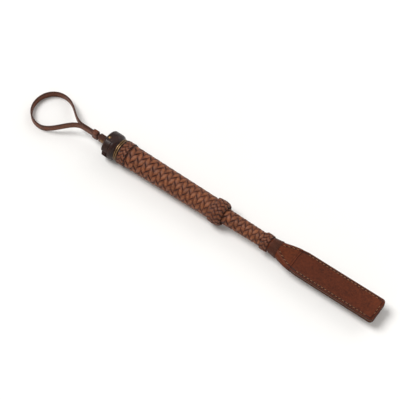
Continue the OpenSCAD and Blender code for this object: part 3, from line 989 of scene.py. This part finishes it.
def leaf(side, node, body, phase):
    """One leaf of the flapper. side is 1 for the upper and -1 for the lower."""
    low, high = span(node)
    lining_low, lining_high = span(node + "_lining")
    face_t, lining_t = high[2] - low[2], lining_high[2] - lining_low[2]
    inner_z = (lining_low[2] if side > 0 else lining_high[2])
    gx, gy, inset, tucked, end = leaf_grid(node)
    warp = leaf_warp(gx, gy, low[0] + face_t, end, phase)
    edge = 0.7 * MM
    drop = edge - np.sqrt(np.maximum(edge ** 2 - np.maximum(edge - inset, 0) ** 2, 0))
    crease = groove(inset, 1.8 * MM, 0.22 * MM, 0.3 * MM)
    seam = groove(inset, 3.0 * MM, 0.5 * MM, 0.32 * MM)
    visible = np.clip((gx - tucked) / (10 * MM), 0, 1)
    top = face_t - drop - (crease + seam) * visible
    base = lining_t * np.ones_like(gx)
    bottom_drop = 0.25 * MM * np.exp(-inset / (0.3 * MM))
    # Tones: lighter where the leaf lifts, a painted highlight on its raised parts; darker in the crease
    # and seam, painted shade; then a dark band at the very edge and a light band just inside it.
    tones = 0.62 + 0.2 * np.clip(warp / (0.5 * MM), 0, 1)
    tones = tones - 0.62 * np.clip((crease + seam) / (0.2 * MM), 0, 1)
    tones = np.where(inset < 0.9 * MM, 0.28, tones)
    tones = np.where((inset > 0.55 * MM) & (inset < 1.2 * MM), 0.85, tones)

    def at(height):
        return np.stack([gx, gy, inner_z + side * (height + warp)], -1)

    face = Shape()
    face.slab(at(base + top), at(base + bottom_drop), tones, np.full(gx.shape, 0.15))
    face_obj = face.piece(body + "_face", None, FLAPPER, (node,))

    lining = Shape()
    trim = 1 - 0.35 * MM / np.maximum(abs(gy).max(), MM)
    gx_in = np.where(gx > end - 1 * MM, gx - 0.3 * MM, gx)
    nap = 0.12 * MM * np.exp(-inset / (0.4 * MM))

    def lined(height):
        return np.stack([gx_in, gy * trim, inner_z + side * (height + warp)], -1)

    lining.slab(lined(base - 0.02 * MM), lined(nap), np.full(gx.shape, 0.4), np.full(gx.shape, 0.6))
    lining_obj = lining.piece(body + "_suede", None, SUEDE, (node + "_lining",))

    for obj in (face_obj, lining_obj):
        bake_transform(obj)
    stitches = stitch_set(body + "_stitches", node + "_stitching", body)
    for vert in stitches.data.vertices:
        lift = leaf_warp(vert.co.x, vert.co.y, low[0] + face_t, end, phase)
        vert.co.z += side * (lift - 0.3 * MM)


# ---- Wrist loop ----

def cubic(p, t):
    """Points of a cubic curve through four control points."""
    p = np.array(p, float)
    t = np.asarray(t)[:, None]
    return ((1 - t) ** 3 * p[0] + 3 * (1 - t) ** 2 * t * p[1]
            + 3 * (1 - t) * t ** 2 * p[2] + t ** 3 * p[3])


loop_low, loop_high = span("wrist_strap")
PIN_X = joint("loop_swing")["pos_m"][0]
STRAP_T = 2.0 * MM
STRAP_W = 10.0 * MM


def strap_route():
    """The strap's middle line from the tab, round the loop and back, as x and y from the pin."""
    reach = PIN_X - loop_low[0] - STRAP_T / 2
    half_w = (loop_high[1] - loop_low[1]) / 2 - STRAP_T / 2
    start, straight, beside = PIN_X - loop_high[0], 44 * MM, STRAP_T / 2 + 0.04 * MM
    wide = reach + STRAP_T / 2 - half_w
    bow = 0.5523 * half_w       # makes a cubic follow a quarter circle
    flare = [(straight, beside), (straight + 18 * MM, beside), (wide - 20 * MM, half_w), (wide, half_w)]
    turn = [(wide, half_w), (wide + bow, half_w), (reach, bow), (reach, 0)]
    t = np.linspace(0, 1, 40)
    runs = np.stack([np.linspace(start, straight, 30), np.full(30, beside)], -1)
    half = np.concatenate([runs, cubic(flare, t)[1:], cubic(turn, t)[1:]])
    back = half[-2::-1] * [1, -1]
    route = np.concatenate([half, back])
    sag = np.clip((route[:, 0] - straight) / (wide - straight), 0, 1)
    return route, (AXIS_Z - STRAP_W / 2) * eased(sag)


def ribbon(path, side, out, axis, up):
    """Rings of a section at each point of a path: out along side, and up along axis."""
    return (path[:, None, :] + out[None, :, None] * side[:, None, :]
            + up[None, :, None] * axis[None, None, :])


def wrist_strap():
    """Flat strap on edge, with rounded dark edges and a crease line along each side."""
    route, sag = strap_route()
    path = np.stack([PIN_X - route[:, 0], route[:, 1], AXIS_Z - sag], -1)
    ahead = np.gradient(path, axis=0)
    ahead[:, 2] = 0
    ahead /= np.linalg.norm(ahead, axis=1)[:, None]
    side = np.stack([-ahead[:, 1], ahead[:, 0], np.zeros(len(path))], -1)
    heights = np.array([-5, -4.75, -4.2, -3.95, -3.7, -3.45, -3.2, -1.8, 0, 1.8, 3.2, 3.45, 3.7, 3.95,
                        4.2, 4.75, 5]) / 10 * STRAP_W
    crease = 0.16 * MM * np.exp(-((abs(heights) - 0.37 * STRAP_W) / (0.2 * MM)) ** 2)
    rounding = 0.5 * MM * np.clip((abs(heights) - 0.42 * STRAP_W) / (0.08 * STRAP_W), 0, 1) ** 2
    half_t = STRAP_T / 2 - crease - rounding
    # The crease line is darkened as painted shade in its groove; the rounded edges are darker too.
    tone = 0.7 - 0.6 * np.clip(crease / (0.12 * MM), 0, 1) - 0.55 * np.clip(rounding / (0.3 * MM), 0, 1)
    tone = np.concatenate([tone, tone[::-1]])
    rings = ribbon(path, side, np.concatenate([half_t, -half_t[::-1]]), Z,
                   np.concatenate([heights, heights[::-1]]))
    shape = Shape()
    shape.sweep(rings, np.broadcast_to(tone, rings.shape[:2]))
    return shape.piece("loop_strap", "wrist_loop", STRAP, ("wrist_strap",), smooth_angle=50)


def band(shape, path, side, half_width, thickness, axis, loop, tone=0.7):
    """A leather band along a path. side is its outward direction and axis runs across its width."""
    marks = np.array([-1, -0.96, -0.86, -0.74, -0.68, -0.62, -0.3, 0, 0.3, 0.62, 0.68, 0.74, 0.86,
                      0.96, 1])
    crease = 0.14 * MM * np.exp(-((abs(marks) - 0.68) / 0.045) ** 2)
    rounding = 0.45 * MM * np.clip((abs(marks) - 0.8) / 0.2, 0, 1) ** 2
    outer = thickness / 2 - crease - rounding
    inner = -thickness / 2 + rounding * 0.5
    up = np.concatenate([marks, marks[::-1]]) * half_width
    out = np.concatenate([outer, inner[::-1]])
    # The crease is darkened as painted shade in its groove, the rounded edges are darker, and the inner
    # face against the strap gets a low tone, painted shade.
    tones = np.concatenate([tone - 0.6 * crease / (0.14 * MM) - 0.5 * rounding / (0.45 * MM),
                            np.full(len(marks), 0.2)])
    rings = ribbon(path, side, out, axis, up)
    shape.sweep(rings, np.broadcast_to(np.clip(tones, 0, 1), rings.shape[:2]), loop=loop)


def loop_tab():
    """Leather folded round the pin and back along both sides of the strap's ends."""
    low, high = span("loop_tab")
    half_y = (high[1] - low[1]) / 2
    thickness = 1.8 * MM
    middle = half_y - thickness / 2
    straight = np.linspace(low[0] + 0.3 * MM, PIN_X, 24)
    arc = np.linspace(math.pi / 2, -math.pi / 2, 25)[1:-1]
    path = np.concatenate([np.stack([straight, np.full(24, middle)], -1),
                           np.stack([PIN_X + middle * np.cos(arc), middle * np.sin(arc)], -1),
                           np.stack([straight[::-1], np.full(24, -middle)], -1)])
    outward = np.concatenate([np.tile([0, 1], (24, 1)), np.stack([np.cos(arc), np.sin(arc)], -1),
                              np.tile([0, -1], (24, 1))])
    path = np.column_stack([path, np.full(len(path), AXIS_Z)])
    outward = np.column_stack([outward, np.zeros(len(path))])
    shape = Shape()
    band(shape, path, outward, (high[2] - low[2]) / 2, thickness, Z, loop=False)
    return shape.piece("folded_tab", "wrist_loop", STRAP, ("loop_tab",), smooth_angle=50)


def loop_keeper():
    """Leather band round both runs of the strap, with rounded corners."""
    low, high = span("loop_keeper")
    half_y, half_z = (high[1] - low[1]) / 2, (high[2] - low[2]) / 2
    thickness = 1.6 * MM
    y, z, corner = half_y - thickness / 2, half_z - thickness / 2, 1.2 * MM
    path, outward = [], []
    for cy, cz, first in ((1, 1, 0), (-1, 1, 90), (-1, -1, 180), (1, -1, 270)):
        for degrees in np.linspace(first, first + 90, 9):
            a = math.radians(degrees)
            n = np.array([0, math.cos(a), math.sin(a)])
            path.append(np.array([0, cy * (y - corner), cz * (z - corner)]) + corner * n)
            outward.append(n)
    path = np.array(path) + [(low[0] + high[0]) / 2, 0, AXIS_Z]
    shape = Shape()
    band(shape, path, np.array(outward), (high[0] - low[0]) / 2, thickness, X, loop=True, tone=0.62)
    return shape.piece("keeper_band", "keeper", STRAP, ("loop_keeper",), smooth_angle=50)


# ---- Studio ----

def studio():
    """Pale floor that curves up far away, and soft light from above and behind."""
    profile = [(6.3, 1.9), (6.1, 1.1), (5.7, 0.55), (5.2, 0.22), (4.6, 0.05), (4, 0), (1, 0)]
    columns = 96
    angles = around(columns)
    bowl = Shape()
    bowl.sweep(np.array([np.stack([r * np.cos(angles), r * np.sin(angles), np.full(columns, h)], -1)
                         for r, h in profile]), np.zeros((len(profile), columns)), capped=False)
    bowl.faces.append([columns * (len(profile) - 1) + j for j in range(columns)])
    mesh = bpy.data.meshes.new("floor")
    mesh.from_pydata(np.concatenate(bowl.points).tolist(), [], bowl.faces)
    mesh.shade_smooth()
    floor = bpy.data.objects.new("floor", mesh)
    SCENE.collection.objects.link(floor)
    mat, tree, bsdf, coords = shader("pale_floor", 0.7)
    cloud = noise_at(tree, coords, 0.4, 2)
    tree.links.new(mixed(tree, ramp(tree, cloud, 0.3, 0.7), (236, 235, 233),
                         (241, 240, 238)), bsdf.inputs["Base Color"])
    mesh.materials.append(mat)
    floor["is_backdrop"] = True
    world = bpy.data.worlds.new("studio")
    world.use_nodes = True
    world.node_tree.nodes["Background"].inputs["Color"].default_value = (1.0, 0.985, 0.965, 1)
    world.node_tree.nodes["Background"].inputs["Strength"].default_value = 0.42
    SCENE.world = world
    SCENE.view_settings.view_transform = "Standard"
    for name, place, softness, power in (("key", (-0.75, -0.2, 1.3), 32, 2.5),
                                         ("rim", (0.35, 1.2, 0.8), 45, 0.6)):
        data = bpy.data.lights.new(name, "SUN")
        data.angle = math.radians(softness)
        data.energy = power
        light = bpy.data.objects.new(name, data)
        light.rotation_euler = Vector(place).to_track_quat("Z", "Y").to_euler()
        SCENE.collection.objects.link(light)


def camera():
    """The crop lies across the picture from upper left to lower right, seen from above its side."""
    azimuth, elevation = math.radians(36), math.radians(60)
    distance, field, sensor = 1.9, 0.49, 36
    low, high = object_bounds()
    target = (low + high) / 2
    back = Vector((math.sin(azimuth) * math.cos(elevation),
                   -math.cos(azimuth) * math.cos(elevation), math.sin(elevation)))
    data = bpy.data.cameras.new("camera")
    data.sensor_width = sensor
    data.lens = sensor * distance / field
    cam = bpy.data.objects.new("camera", data)
    cam.location = target + back * distance
    cam.rotation_mode = "QUATERNION"
    cam.rotation_quaternion = (-back).to_track_quat("-Z", "Y")
    SCENE.collection.objects.link(cam)
    SCENE.camera = cam


def dress(node, material):
    """A CAD node whose shape is right keeps it and gets its material."""
    obj = frame["nodes"][node]
    obj.data.materials.clear()
    obj.data.materials.append(material)


dress("handle_core", WOOD)
dress("grip_liner", INNER)
dress("shaft_belly", INNER)
dress("neck_filler", FELT)
grip()
shaft()
rod()
knot_piece("butt_knot_plait", "butt_knot", "handle", 5, 16, 3.9 * MM, (GRIP_R[0], GRIP_R[0]))
knot_piece("lower_knot_plait", "lower_knot", "handle", 7, 16, 4.3 * MM, (GRIP_R[1], SHAFT_R[0]))
knot_piece("collar_plait", "neck_collar", "tip", 5, 12, 3.5 * MM, (NECK_R, NECK_R))
butt_cap()
ferrule()
loop_pin()
tab_rivet()
neck_sleeve()
neck_binding()
stitch_set("neck_stitches", "neck_stitching", "tip")
leaf(1, "leaf_top", "upper_leaf", 0.6)
leaf(-1, "leaf_bottom", "lower_leaf", 2.1)
wrist_strap()
loop_tab()
loop_keeper()
studio()
camera()
